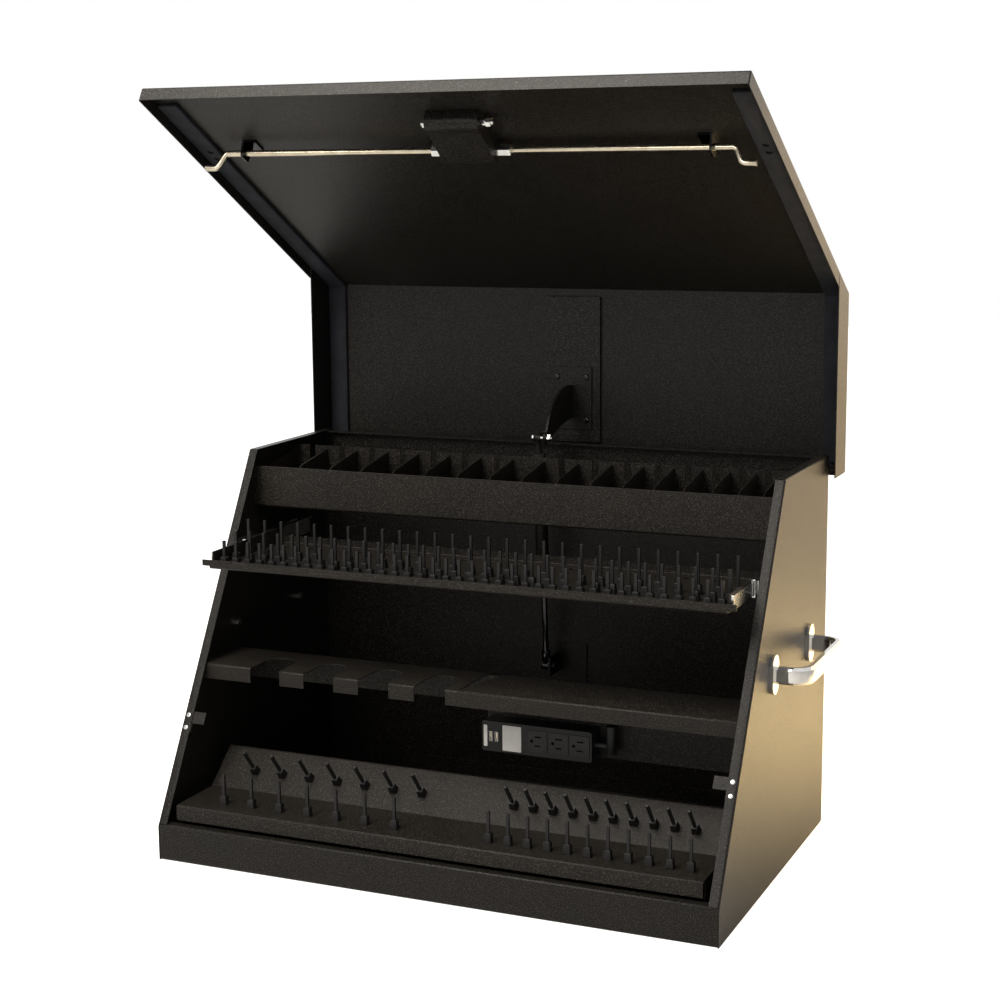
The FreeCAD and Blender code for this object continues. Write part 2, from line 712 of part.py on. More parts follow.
def lock_plug():
    start, inward = handle_axis(0)
    plug = cylinder(start - inward * 25, inward, PLUG_R, 17)
    key = box(-0.8, 0.8, -3.5, 3.5, -1, 6)
    key.Placement = FreeCAD.Placement(start - inward * 24.5, FreeCAD.Rotation(Z_AXIS, inward))
    return plug.cut(key)


def handle_rose():
    """The square plate with rounded corners between the grip and the lid."""
    start, inward = handle_axis(0)
    x, s = V(ROSE_HALF, 0, 0), V(0, -SIN, -COS) * ROSE_HALF
    wire = rounded([start + x + s, start - x + s, start - x - s, start + x - s], [6] * 4)
    rose = Part.Face(wire).extrude(inward * -3)
    return rose.cut(cylinder(start - inward * 6, inward, STEM_R + HUB_CLEAR, 10))


# Strikes

def strike():
    """An L-shaped plate behind the slanted flange; the crank's tip turns in behind its arm."""
    low, high = LID_GAP + SHEET, LID_GAP + SHEET + STRIKE_T
    ends = (STRIKE_ALONG, STRIKE_ALONG + STRIKE_ARM, STRIKE_ALONG + STRIKE_TALL)
    arm = lid_plate([(ends[0], low), (ends[0], high), (ends[1], high), (ends[1], low)],
                    STRIKE_X, HALF - FLANGE)
    post = lid_plate([(ends[0], low), (ends[0], high), (ends[2], high), (ends[2], low)],
                     HALF - FLANGE - 1, INNER - 2 * BEND)
    return join(post, arm)


# Side pulls

def pull_feet():
    """The Y of one side pull's two feet."""
    return PULL_FRONT, PULL_FRONT + PULL_SPAN


def chamfered(a, b, c):
    """The corners of a rectangle from -a to a and from -b to b whose corners are cut off by c."""
    upper = [(a, b - c), (a - c, b), (c - a, b), (-a, b - c)]
    return upper + [(-y, -z) for y, z in upper]


def side_pull():
    """The right pull: two oval feet, and a flat-sided grip that bends out of one and into the other."""
    face = HALF + FOOT_THICK
    out = HALF + PULL_OUT - PULL_THICK / 2
    front, rear = pull_feet()
    line = [V(x, y, PULL_Z) for x, y in ((face - 1, front), (out, front), (out, rear), (face - 1, rear))]
    corners = [line[0] + V(0, y, z) for y, z in chamfered(PULL_THICK / 2, PULL_TALL / 2, PULL_CHAMFER)]
    grip = bent_bar(Part.Face(Part.makePolygon(corners + corners[:1])), line, PULL_BEND)
    pull = join(grip, *[pull_foot(foot) for foot in pull_feet()])
    for foot in pull_feet():
        pull = pull.cut(cylinder(V(HALF - 1, foot, PULL_Z), X_AXIS, BOLT_R + 0.05, FOOT_THICK + 5))
    return pull


def pull_foot(y):
    """An upright oval plate against the wall."""
    w, h = FOOT_WIDE / 2, FOOT_LONG / 2
    return plate([(y - w, PULL_Z - h), (y + w, PULL_Z - h), (y + w, PULL_Z + h), (y - w, PULL_Z + h)],
                 HALF, HALF + FOOT_THICK, [w - 0.01] * 4)


def pull_bolts():
    """One bolt into each foot, with its six-sided head inside the wall."""
    bolts = []
    for y in pull_feet():
        head = hexagon(V(INNER - BOLT_HEAD, y, PULL_Z), X_AXIS, 5.0, BOLT_HEAD)
        bolts.append(join(head, cylinder(V(INNER - 1, y, PULL_Z), X_AXIS, BOLT_R, SHEET + FOOT_THICK + 4)))
    return group(bolts + [mirror(bolt) for bolt in bolts])


# Upper tray, drawn pushed in

def peg(x, y, z, tall, lean=0.0):
    """One holder: a tapered block with a square pin, leaning forward by an angle."""
    h = PEG_BASE / 2
    bottom = Part.makePolygon([V(-h, -h, 0), V(h, -h, 0), V(h, h, 0), V(-h, h, 0), V(-h, -h, 0)])
    k = h - 1
    top = Part.makePolygon([V(-k, -k, PEG_BASE_H), V(k, -k, PEG_BASE_H), V(k, k, PEG_BASE_H),
                            V(-k, k, PEG_BASE_H), V(-k, -k, PEG_BASE_H)])
    block = Part.makeLoft([bottom, top], True, True)
    p = PEG_PIN / 2
    pin = Part.makeBox(2 * p, 2 * p, tall - PEG_BASE_H, V(-p, -p, PEG_BASE_H))
    shape = block.fuse(pin).removeSplitter()
    shape.Placement = FreeCAD.Placement(V(x, y, z), FreeCAD.Rotation(X_AXIS, lean))
    return shape


def row(x0, x1, count):
    """Evenly spaced places from one end of a row to the other."""
    return [x0 + (x1 - x0) * i / (count - 1) for i in range(count)]


def upper_tray():
    rear = TRAY_FRONT + TRAY_DEPTH
    line = [(TRAY_FRONT, TRAY_Z + TRAY_LIP), (TRAY_FRONT, TRAY_Z), (rear, TRAY_Z), (rear, TRAY_Z + TRAY_LIP)]
    floor = fold(line, SHEET, -TRAY_HALF, TRAY_HALF)
    ear = box(TRAY_HALF - SHEET, TRAY_HALF + TRAY_EAR, TRAY_FRONT, TRAY_FRONT + SHEET,
              TRAY_Z + 4, TRAY_Z + TRAY_LIP)
    wing = box(TRAY_HALF - SHEET, TRAY_HALF, TRAY_FRONT + 8, rear, TRAY_Z, TRAY_Z + TRAY_SIDE)
    tray = join(floor, ear, mirror(ear), wing, mirror(wing))
    y, half = rear - DRIVER_HOLE_BACK, DRIVER_HOLE / 2
    for x in row(22 - TRAY_HALF, TRAY_HALF - 22, DRIVER_HOLES):
        tray = tray.cut(box(x - half, x + half, y - half, y + half, TRAY_Z - 1, TRAY_Z + 3))
    return tray


def tray_pegs(back, count, tall):
    y = TRAY_FRONT + back
    places = row(-TRAY_HALF + 12, TRAY_HALF - 12, count)
    return group([peg(x, y, TRAY_Z + SHEET, tall) for x in places])


def slide_bar():
    """The moving member of the right slide, against the tray's side wall."""
    y0 = TRAY_FRONT + 12
    z0 = TRAY_Z + 2
    return box(TRAY_HALF, TRAY_HALF + SLIDE_BAR, y0, y0 + SLIDE_LEN, z0, z0 + SLIDE_HEIGHT)


def slide_channel():
    """The fixed member of the right slide: a C-channel on a spacer against the case's wall."""
    y0 = TRAY_FRONT + 12
    z0 = TRAY_Z + 2 - SLIDE_GAP - CHANNEL_WALL
    z1 = TRAY_Z + 2 + SLIDE_HEIGHT + SLIDE_GAP + CHANNEL_WALL
    x0 = TRAY_HALF + 0.5
    x1 = TRAY_HALF + SLIDE_BAR + SLIDE_GAP + CHANNEL_WALL
    y1 = y0 + SLIDE_LEN + 12
    shell = box(x0, x1, y0, y1, z0, z1)
    inner = box(x0 - 1, x1 - CHANNEL_WALL, y0 - 1, y1 + 1, z0 + CHANNEL_WALL, z1 - CHANNEL_WALL)
    spacer = box(x1, INNER, y0 + 10, y1 - 4, z0 + 3, z1 - 3)
    hollow = box(x1 + 1.6, INNER - 1.6, y0, y1, z0 + 4.6, z1 + 1)
    return join(shell.cut(inner), spacer.cut(hollow))


# Wrench rack

def bay_edges():
    """The X of every divider: even bays on the left and narrowing ones on the right."""
    end = INNER - BAY_END
    left = row(-end, BAY_GAP_LEFT, LEFT_BAYS + 1)
    widths = row(BAY_WIDE, BAY_NARROW, RIGHT_BAYS)
    scale = (end - BAY_GAP_RIGHT) / sum(widths)
    right = [BAY_GAP_RIGHT]
    for width in widths:
        right.append(right[-1] + width * scale)
    return left, right


def wrench_rack():
    """A folded trough between the side walls, with a slot for each wrench in its floor and rear comb."""
    trough = fold([(RACK_FRONT, RACK_TOP), (RACK_FRONT, RACK_FLOOR), (RACK_REAR, RACK_FLOOR),
                   (RACK_REAR, RACK_COMB_TOP)], SHEET, -INNER, INNER)
    for edges in bay_edges():
        for a, b in zip(edges, edges[1:]):
            x0, x1 = (a + b - WRENCH_SLOT) / 2, (a + b + WRENCH_SLOT) / 2
            floor = box(x0, x1, RACK_FRONT + 22, RACK_REAR - 8, RACK_FLOOR - 1, RACK_FLOOR + 3)
            comb = box(x0, x1, RACK_REAR - 3, RACK_REAR + 1, RACK_COMB_TOP - 26, RACK_COMB_TOP + 1)
            trough = trough.cut(floor).cut(comb)
    return trough


def rack_fins():
    """Thin dividers that lean their upper edge from the front plate up to the comb."""
    fins = []
    y0, y1 = RACK_FRONT + SHEET, RACK_REAR - SHEET
    z0 = RACK_FLOOR + SHEET
    outline = [(y0 + 2, z0), (y1 - 2, z0), (y1, z0 + 2), (y1, RACK_COMB_TOP - 4),
               (y0 + 40, RACK_TOP - 2), (y0, RACK_TOP - 22), (y0, z0 + 2)]
    for edges in bay_edges():
        for x in edges:
            fins.append(plate(outline, x - FIN / 2, x + FIN / 2))
    return group(fins)


# Mid-height deck

def tool_shelf():
    """The right-hand shelf: front lip, deck, and a rear plate that drops behind the power strip."""
    line = [(DECK_REAR, DECK_Z - DROP_PLATE), (DECK_REAR, DECK_Z), (DECK_FRONT, DECK_Z),
            (DECK_FRONT, DECK_Z - DECK_LIP)]
    shelf = fold(line, SHEET, DECK_SPLIT, INNER)
    end = box(INNER - SHEET, INNER, DECK_FRONT + SHEET, DECK_REAR - SHEET, DECK_Z - 34, DECK_Z - SHEET)
    z = DECK_Z - SHEET - BEND
    x = DECK_SPLIT
    corners = [V(x, DECK_FRONT, z), V(x + SHELF_SLANT, DECK_REAR, z), V(x, DECK_REAR, z)]
    wedge = Part.Face(Part.makePolygon(corners + corners[:1])).extrude(V(0, 0, 2 * SHEET + BEND))
    return join(shelf, end).cut(wedge)


def tool_rack():
    """The left-hand rack at the same height, with round-ended forks open to the front for hanging tools."""
    line = [(DECK_REAR, DECK_Z - RACK_DROP), (DECK_REAR, DECK_Z), (DECK_FRONT, DECK_Z),
            (DECK_FRONT, DECK_Z - DECK_LIP)]
    rack = fold(line, SHEET, -INNER, DECK_SPLIT)
    pitch = (INNER + DECK_SPLIT - 60) / TOOL_FORKS
    for i in range(TOOL_FORKS):
        x = -INNER + 60 + pitch * (i + 0.5)
        half = FORK_WIDTH / 2
        deep = DECK_FRONT + FORK_DEPTH - half
        rack = rack.cut(box(x - half, x + half, DECK_FRONT - 1, deep, DECK_Z - DECK_LIP - 1, DECK_Z + 1))
        rack = rack.cut(cylinder(V(x, deep, DECK_Z - DECK_LIP - 1), Z_AXIS, half, DECK_LIP + 2))
    return rack


def rack_bracket():
    """The angle on the left wall that carries the rack's end."""
    x = -INNER
    y0, y1 = DECK_FRONT + 20, DECK_REAR - SHEET - 2 * BEND
    up = box(x, x + SHEET, y0, y1, DECK_Z - SHEET - 24, DECK_Z - SHEET)
    shelf = box(x, x + 33, y0, y1, DECK_Z - 2 * SHEET, DECK_Z - SHEET)
    return join(up, shelf)


# Lower tray

def ramp_point(along, out=0.0):
    """The (y, z) on the lower tray's sloped plate."""
    a = math.radians(LOW_SLOPE)
    y = LOW_FRONT + LOW_FLAT + along * math.cos(a) - out * math.sin(a)
    z = LOW_Z + along * math.sin(a) + out * math.cos(a)
    return y, z


def lower_tray():
    end = ramp_point(LOW_RAMP)
    line = [(end[0], SHEET), end, ramp_point(0), (LOW_FRONT, LOW_Z), (LOW_FRONT, LOW_Z - LOW_LIP)]
    deck = fold(line, SHEET, -LOW_HALF, LOW_HALF)
    outline = [(LEDGE + 4, SHEET), (end[0] - SHEET, SHEET), (end[0] - SHEET, end[1] - 3),
               (LOW_FRONT + LOW_FLAT, LOW_Z - SHEET), (LEDGE + 4, LOW_Z - SHEET)]
    side = plate(outline, LOW_HALF - SHEET, LOW_HALF)
    return join(deck, side, mirror(side))


def upright_pegs():
    places = row(*LOW_LEFT, LOW_LEFT_PEGS) + row(*LOW_RIGHT, LOW_RIGHT_PEGS)
    return group([peg(x, LOW_FRONT + LOW_PEG_Y, LOW_Z, LOW_TALL) for x in places])


def leaning_pegs():
    y, z = ramp_point(RAMP_PEG)
    places = row(*LOW_LEFT, LOW_LEFT_PEGS) + row(*LOW_RIGHT_RAMP, RAMP_RIGHT_PEGS)
    return group([peg(x, y, z, RAMP_TALL, LOW_SLOPE) for x in places])


# Power strip

def strip_box():
    """The strip's housing, with the strain relief for its cord: a short neck and an upright sleeve."""
    y1 = DECK_REAR - SHEET
    x1 = STRIP_LEFT + STRIP_LENGTH
    housing = box(STRIP_LEFT, x1, y1 - STRIP_DEPTH, y1, STRIP_TOP - STRIP_HEIGHT, STRIP_TOP)
    edges = [e for e in housing.Edges if abs(e.tangentAt(e.FirstParameter).y) > 0.9]
    housing = housing.makeFillet(3.0, edges)
    for x in outlet_places():
        housing = housing.cut(outlet_block(x, 0.02))
    y, z = y1 - STRIP_DEPTH / 2, STRIP_TOP - STRIP_HEIGHT / 2
    neck = cylinder(V(x1 - 1, y, z), X_AXIS, SLEEVE_R - 2, SLEEVE_X)
    sleeve = cylinder(V(x1 + SLEEVE_X, y, z + 9 - SLEEVE_TALL / 2), Z_AXIS, SLEEVE_R, SLEEVE_TALL)
    return join(housing.cut(usb_block(0.02)), neck, sleeve)


def outlet_places():
    return [STRIP_LEFT + OUTLET_FIRST + OUTLET_PITCH * i for i in range(OUTLETS)]


def outlet_block(x, clearance=0.0):
    front = DECK_REAR - SHEET - STRIP_DEPTH
    c = clearance
    mid = STRIP_TOP - STRIP_HEIGHT / 2
    return box(x - 13 - c, x + 13 + c, front - 1.0, front + 6 + c, mid - 14 - c, mid + 14 + c)


def outlets():
    """Three socket faces, each with two blades' slots and a round earth hole."""
    front = DECK_REAR - SHEET - STRIP_DEPTH
    mid = STRIP_TOP - STRIP_HEIGHT / 2
    blocks = []
    for x in outlet_places():
        block = outlet_block(x)
        block = block.cut(box(x - 4, x + 5, front - 2, front + 4, mid + 5, mid + 7))
        block = block.cut(box(x - 4, x + 4, front - 2, front + 4, mid - 7, mid - 5))
        block = block.cut(cylinder(V(x - 8, front - 2, mid), Y_AXIS, 2.2, 6))
        blocks.append(block)
    return group(blocks)


def usb_block(clearance=0.0):
    front = DECK_REAR - SHEET - STRIP_DEPTH
    c = clearance
    mid = STRIP_TOP - STRIP_HEIGHT / 2
    x = STRIP_LEFT + USB_X
    return box(x - 8 - c, x + 8 + c, front - 0.6, front + 6 + c, mid - 9 - c, mid + 9 + c)


def usb_ports():
    """A block with two upright charging ports side by side."""
    front = DECK_REAR - SHEET - STRIP_DEPTH
    mid = STRIP_TOP - STRIP_HEIGHT / 2
    block = usb_block()
    for s in (-1, 1):
        x = STRIP_LEFT + USB_X + 4 * s
        block = block.cut(box(x - 2.2, x + 2.2, front - 2, front + 4, mid - 6.5, mid + 6.5))
    return block


def main():
    os.makedirs("parts", exist_ok=True)
    right_side = side_panel()
    write("side_panel_right", right_side)
    write("side_panel_left", mirror(right_side))
    write("base_pan", base_pan())
    write("back_panel", back_panel())
    write("hinge_rail", hinge_rail())
    write("hinge_leaf_case", hinge_leaf_case())
    write("hinge_pin", hinge_pin())
    write("wrench_rack", wrench_rack())
    write("rack_fins", rack_fins())
    write("tool_shelf", tool_shelf())
    write("tool_rack", tool_rack())
    write("rack_bracket", rack_bracket())
    write("lower_tray", lower_tray())
    write("upright_pegs", upright_pegs())
    write("leaning_pegs", leaning_pegs())
    write("strip_box", strip_box())
    write("strip_outlets", outlets())
    write("strip_usb", usb_ports())
    write("strikes", group([strike(), mirror(strike())]))
    pull = side_pull()
    write("side_pull_right", pull)
    write("side_pull_left", mirror(pull))
    write("pull_bolts", pull_bolts())
    channel = slide_channel()
    write("slide_channels", group([channel, mirror(channel)]))
    write("strut_foot", strut_foot())

    write("lid_shell", swing_open(lid_shell()))
    write("lid_gaskets", swing_open(group([gasket(), mirror(gasket())])))
    write("hinge_leaf_lid", swing_open(hinge_leaf_lid()))
    write("strut_channel", swing_open(strut_channel()))
    write("strut_bracket", swing_open(strut_bracket()))
    write("latch_body", swing_open(latch_body()))
    write("lid_bolts", swing_open(group([lid_stud(), latch_bolt()])))
    write("handle_rose", swing_open(handle_rose()))
    guide = rod_guide()
    write("rod_guide_right", swing_open(guide))
    write("rod_guide_left", swing_open(mirror(guide)))

    write("latch_hub", swing_open(latch_hub()))
    left, right = coupler_ends()
    write("latch_rod_right", swing_open(latch_rod(right[0] + 3)))
    write("latch_rod_left", swing_open(mirror(latch_rod(3 - left[0]))))
    write("turn_handle", swing_open(turn_handle()))
    write("lock_plug", swing_open(lock_plug()))

    write("upper_tray", pull_out(upper_tray()))
    write("tray_pegs_front", pull_out(tray_pegs(FRONT_ROW, FRONT_PEGS, FRONT_TALL)))
    write("tray_pegs_middle", pull_out(tray_pegs(MIDDLE_ROW, MIDDLE_PEGS, MIDDLE_TALL)))
    write("tray_pegs_rear", pull_out(tray_pegs(REAR_ROW, REAR_PEGS, REAR_TALL)))
    bar = slide_bar()
    write("slide_bars", pull_out(group([bar, mirror(bar)])))

    write("strut_cylinder", strut_cylinder())
    write("strut_rod", strut_rod())


main()
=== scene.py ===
"""Looks of a slant-front tool workstation, dressed around its packed construction model."""
import json
import math

import bmesh
import bpy
from mathutils import Euler, Matrix, Vector


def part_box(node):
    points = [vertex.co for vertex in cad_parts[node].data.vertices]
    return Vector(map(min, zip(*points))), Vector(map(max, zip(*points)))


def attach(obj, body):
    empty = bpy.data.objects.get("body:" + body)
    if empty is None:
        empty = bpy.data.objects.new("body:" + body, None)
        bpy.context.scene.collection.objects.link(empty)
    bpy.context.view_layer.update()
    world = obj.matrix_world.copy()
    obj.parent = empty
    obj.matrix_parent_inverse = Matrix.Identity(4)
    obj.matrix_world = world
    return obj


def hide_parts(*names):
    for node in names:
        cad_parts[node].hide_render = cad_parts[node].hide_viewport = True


bl_info = {
    "name": "Tool Workstation Dresser",
    "version": (1, 0, 0),
    "blender": (4, 5, 0),
    "location": "View3D > Sidebar > Workstation",
    "description": "Finishes, trim and small hardware of a slant-front steel tool workstation",
    "category": "Object",
}

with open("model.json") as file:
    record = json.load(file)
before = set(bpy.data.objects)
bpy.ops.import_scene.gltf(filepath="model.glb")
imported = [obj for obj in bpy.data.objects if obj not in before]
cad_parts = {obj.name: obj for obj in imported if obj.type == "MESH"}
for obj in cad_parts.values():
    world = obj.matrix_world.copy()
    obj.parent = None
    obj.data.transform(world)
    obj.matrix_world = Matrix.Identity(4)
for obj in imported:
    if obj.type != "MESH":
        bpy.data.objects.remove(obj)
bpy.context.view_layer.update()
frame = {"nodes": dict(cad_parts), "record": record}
MM = 0.001

# The slant of the case's mouth and of the lid's long panel, and where the lid's bend stands when it is shut
SLANT_RUN, SLANT_RISE = 0.262, 0.460
SLANT = math.atan2(SLANT_RUN, SLANT_RISE)
SIN, COS = math.sin(SLANT), math.cos(SLANT)
BEND_Y, BEND_Z = 0.01793, 0.516

# The axis on which the lid turns a quarter turn
JOINTS = {joint["name"]: joint for joint in frame["record"]["behaviour"]["joints"]}
HINGE_Y, HINGE_Z = JOINTS["lid_hinge"]["pos_m"][1:]

# The strikes' screws: from the middle, down the slant from the bend, and in from the lid's face to the flange
STRIKE_SCREW_X = 0.37385
STRIKE_SCREW_ALONG = (0.3857, 0.4028)
FLANGE_DEEP = 0.007


def on_mouth(x, along, deep):
    """A point of the slanted mouth, measured down from the shut lid's bend and inward from its face."""
    return Vector((x, BEND_Y - along * SIN + deep * COS, BEND_Z - along * COS - deep * SIN))


def opened(point):
    """Where a point of the shut lid stands when the lid is up."""
    return Vector((point.x, HINGE_Y + point.z - HINGE_Z, HINGE_Z + HINGE_Y - point.y))


def strike_screw_places():
    """Two screws in each side's slanted flange, on its outer face."""
    return [on_mouth(x, along, FLANGE_DEEP)
            for x in (-STRIKE_SCREW_X, STRIKE_SCREW_X) for along in STRIKE_SCREW_ALONG]


# Helpers

def deselect_all():
    bpy.ops.object.select_all(action="DESELECT")


def activate(piece):
    """Makes one object the only selected and active one."""
    deselect_all()
    piece.select_set(True)
    bpy.context.view_layer.objects.active = piece


def apply_place(piece):
    """Puts the object's place, turn and scale into its mesh."""
    activate(piece)
    bpy.ops.object.transform_apply(location=True, rotation=True, scale=True)


def apply_modifiers(piece):
    activate(piece)
    for modifier in list(piece.modifiers):
        bpy.ops.object.modifier_apply(modifier=modifier.name)


def select_faces(piece, test):
    """In edit mode, selects only the faces whose normal passes a test."""
    mesh = bmesh.from_edit_mesh(piece.data)
    for face in mesh.faces:
        face.select_set(False)
    for face in mesh.faces:
        if test(face.normal):
            face.select_set(True)
    mesh.select_flush_mode()
    bmesh.update_edit_mesh(piece.data)


def select_edges(piece, test):
    """In edit mode, selects only the edges whose two ends pass a test."""
    mesh = bmesh.from_edit_mesh(piece.data)
    for edge in mesh.edges:
        edge.select_set(False)
    for edge in mesh.edges:
        if all(test(corner.co) for corner in edge.verts):
            edge.select_set(True)
    bmesh.update_edit_mesh(piece.data)


def joined(pieces):
    """Joins several objects into the first of them."""
    deselect_all()
    for piece in pieces:
        piece.select_set(True)
    bpy.context.view_layer.objects.active = pieces[0]
    bpy.ops.object.join()
    return pieces[0]


def cut_away(piece, cutter):
    """Subtracts a cutter from a piece and removes the cutter."""
    cut = piece.modifiers.new("Cut", "BOOLEAN")
    cut.operation = "DIFFERENCE"
    cut.solver = "EXACT"
    cut.object = cutter
    apply_modifiers(piece)
    bpy.data.objects.remove(cutter)


def soften(piece, width, segments=2, from_angle=35):
    """Rounds the edges with an applied bevel."""
    bevel = piece.modifiers.new("Soften", "BEVEL")
    bevel.width = width
    bevel.segments = segments
    bevel.limit_method = "ANGLE"
    bevel.angle_limit = math.radians(from_angle)
    apply_modifiers(piece)


def finish_piece(piece, name, body, material, smooth=40.0):
    """Names a finished mesh, places it at the origin, gives it its material and its body."""
    apply_place(piece)
    bpy.ops.object.mode_set(mode="EDIT")
    bpy.ops.mesh.select_all(action="SELECT")
    bpy.ops.mesh.normals_make_consistent(inside=False)
    bpy.ops.object.mode_set(mode="OBJECT")
    bpy.ops.object.shade_smooth_by_angle(angle=math.radians(smooth))
    piece.name = name
    piece.data.name = name
    piece.data.materials.clear()
    piece.data.materials.append(material)
    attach(piece, body)


def copies_joined(pattern, places):
    """Copies a modelled pattern to each placement matrix and joins the copies into one piece."""
    made = []
    for place in places:
        copy = pattern.copy()
        copy.data = pattern.data.copy()
        copy.data.transform(place)
        bpy.context.collection.objects.link(copy)
        made.append(copy)
    bpy.data.objects.remove(pattern)
    return joined(made)


def toward(point, direction):
    """A placement that turns +Z to a direction and moves the origin to a point."""
    turn = Vector(direction).to_track_quat("Z", "Y").to_matrix().to_4x4()
    return Matrix.Translation(point) @ turn


# Small hardware, modelled upright on the XY plane and then copied to its places

def upright_cylinder(radius, height, sides):
    """A cylinder that stands on the XY plane."""
    deselect_all()
    bpy.ops.mesh.primitive_cylinder_add(vertices=sides, radius=radius, depth=height,
                                        location=(0, 0, height / 2))
    return bpy.context.object


def pan_head(radius, height, recess, dome=0.7, taper=0.55):
    """A domed screw head with a tapered cross recess; the dome is a share of the head's height."""
    head = upright_cylinder(radius, height, sides=24)
    bpy.ops.object.mode_set(mode="EDIT")
    select_edges(head, lambda corner: corner.z > height / 2 - 1e-6)
    bpy.ops.mesh.bevel(offset=height * dome, segments=4, affect="EDGES")
    bpy.ops.object.mode_set(mode="OBJECT")
    apply_place(head)
    for turn in (0.0, math.pi / 2):
        deselect_all()
        bpy.ops.mesh.primitive_cube_add(size=1.0, location=(0, 0, height), rotation=(0, 0, turn),
                                        scale=(2 * recess, recess / 2, height))
        blade = bpy.context.object
        bpy.ops.object.mode_set(mode="EDIT")
        select_faces(blade, lambda normal: normal.z < -0.9)
        bpy.ops.transform.resize(value=(taper, taper, 1.0))
        bpy.ops.object.mode_set(mode="OBJECT")
        apply_place(blade)
        cut_away(head, blade)
    return head


def set_screw(radius, height, rim=0.45, deep=0.45, edge=0.12):
    """A short grub screw with a socket in its end; its rim, socket and edge are shares of its size."""
    screw = upright_cylinder(radius, height, sides=18)
    bpy.ops.object.mode_set(mode="EDIT")
    select_faces(screw, lambda normal: normal.z > 0.9)
    bpy.ops.mesh.inset(thickness=radius * rim)
    bpy.ops.mesh.extrude_region_move(TRANSFORM_OT_translate={"value": (0, 0, -height * deep)})
    bpy.ops.object.mode_set(mode="OBJECT")
    soften(screw, radius * edge)
    return screw


# Materials

def node_material(name):
    material = bpy.data.materials.new(name)
    material.use_nodes = True
    tree = material.node_tree
    return material, tree, tree.nodes["Principled BSDF"]


def coordinates(tree, scale=(1, 1, 1)):
    """Object coordinates through a Mapping node, as a vector socket."""
    place = tree.nodes.new("ShaderNodeTexCoord")
    mapping = tree.nodes.new("ShaderNodeMapping")
    mapping.inputs["Scale"].default_value = scale
    tree.links.new(place.outputs["Object"], mapping.inputs["Vector"])
    return mapping.outputs["Vector"]


def noise(tree, vector, scale, detail=2.0):
    texture = tree.nodes.new("ShaderNodeTexNoise")
    texture.inputs["Scale"].default_value = scale
    texture.inputs["Detail"].default_value = detail
    tree.links.new(vector, texture.inputs["Vector"])
    return texture.outputs["Fac"]


def cells(tree, vector, scale):
    """The distance from the middle of small even cells."""
    texture = tree.nodes.new("ShaderNodeTexVoronoi")
    texture.inputs["Scale"].default_value = scale
    tree.links.new(vector, texture.inputs["Vector"])
    return texture.outputs["Distance"]


def ramp(tree, value, stops):
    """A colour ramp whose stops are (position, colour) pairs."""
    node = tree.nodes.new("ShaderNodeValToRGB")
    points = node.color_ramp.elements
    for point, (position, colour) in zip(points, stops):
        point.position = position
        point.color = (*colour, 1.0)
    tree.links.new(value, node.inputs["Fac"])
    return node.outputs["Color"]


def spread(tree, value, low, high):
    """Maps a 0 to 1 value to a range."""
    node = tree.nodes.new("ShaderNodeMapRange")
    node.inputs["To Min"].default_value = low
    node.inputs["To Max"].default_value = high
    tree.links.new(value, node.inputs["Value"])
    return node.outputs["Result"]


def bump(tree, height, distance, strength=1.0, after=None):
    """A normal from a height; it adds to another bump's normal where one is given."""
    node = tree.nodes.new("ShaderNodeBump")
    node.inputs["Distance"].default_value = distance
    node.inputs["Strength"].default_value = strength
    tree.links.new(height, node.inputs["Height"])
    if after:
        tree.links.new(after, node.inputs["Normal"])
    return node.outputs["Normal"]


COAT_GRAINS = 700.0      # noise scale at which the powder coat's grains are about 1 mm wide
BLACK = (0.0, 0.0, 0.0)
# Painted highlight: a pale colour added on the tops of the coat's grains, where glints would fall
PAINTED_GRAIN_GLINT = (0.060, 0.056, 0.050)


def powder_coat(name, dark, light, roughness, look):
    """Powder-coated steel: grains with painted highlights on their tops over a soft ripple, with a slight
    change of tone by place.
    """
    material, tree, shader = node_material(name)
    vector = coordinates(tree)
    patches = noise(tree, vector, scale=9.0, detail=3.0)
    colour = ramp(tree, patches, [(0.3, dark), (0.7, light)])
    fine = noise(tree, vector, scale=COAT_GRAINS / look.grain_size, detail=1.0)
    # Painted highlights: the grain tops, where the bump below is highest, are made paler
    painted_glints = ramp(tree, fine, [(0.56, BLACK), (0.70, PAINTED_GRAIN_GLINT)])
    with_painted_glints = tree.nodes.new("ShaderNodeMix")
    with_painted_glints.data_type = "RGBA"
    with_painted_glints.blend_type = "ADD"
    with_painted_glints.inputs["Factor"].default_value = 1.0
    tree.links.new(colour, with_painted_glints.inputs["A"])
    tree.links.new(painted_glints, with_painted_glints.inputs["B"])
    tree.links.new(with_painted_glints.outputs["Result"], shader.inputs["Base Color"])
    tree.links.new(spread(tree, fine, roughness - 0.08, roughness + 0.08), shader.inputs["Roughness"])
    ripple = bump(tree, noise(tree, vector, scale=160.0, detail=1.0), distance=0.04 * MM, strength=0.5)
    tree.links.new(bump(tree, fine, distance=0.4 * MM, after=ripple), shader.inputs["Normal"])
    shader.inputs["Specular IOR Level"].default_value = look.paint_gloss
    return material


def plated(name, dark, light, roughness, streak):
    """Plated or polished metal with faint streaks across X and a cloudy change of tone."""
    material, tree, shader = node_material(name)
    clouds = noise(tree, coordinates(tree), scale=60.0, detail=4.0)
    colour = ramp(tree, clouds, [(0.35, dark), (0.65, light)])
    tree.links.new(colour, shader.inputs["Base Color"])
    lines = noise(tree, coordinates(tree, scale=(40, 900, 900)), scale=1.0)
    smoothest = max(roughness - streak, 0.02)
    tree.links.new(spread(tree, lines, smoothest, roughness + streak), shader.inputs["Roughness"])
    tree.links.new(bump(tree, lines, distance=0.01 * MM, strength=streak), shader.inputs["Normal"])
    shader.inputs["Metallic"].default_value = 1.0
    return material


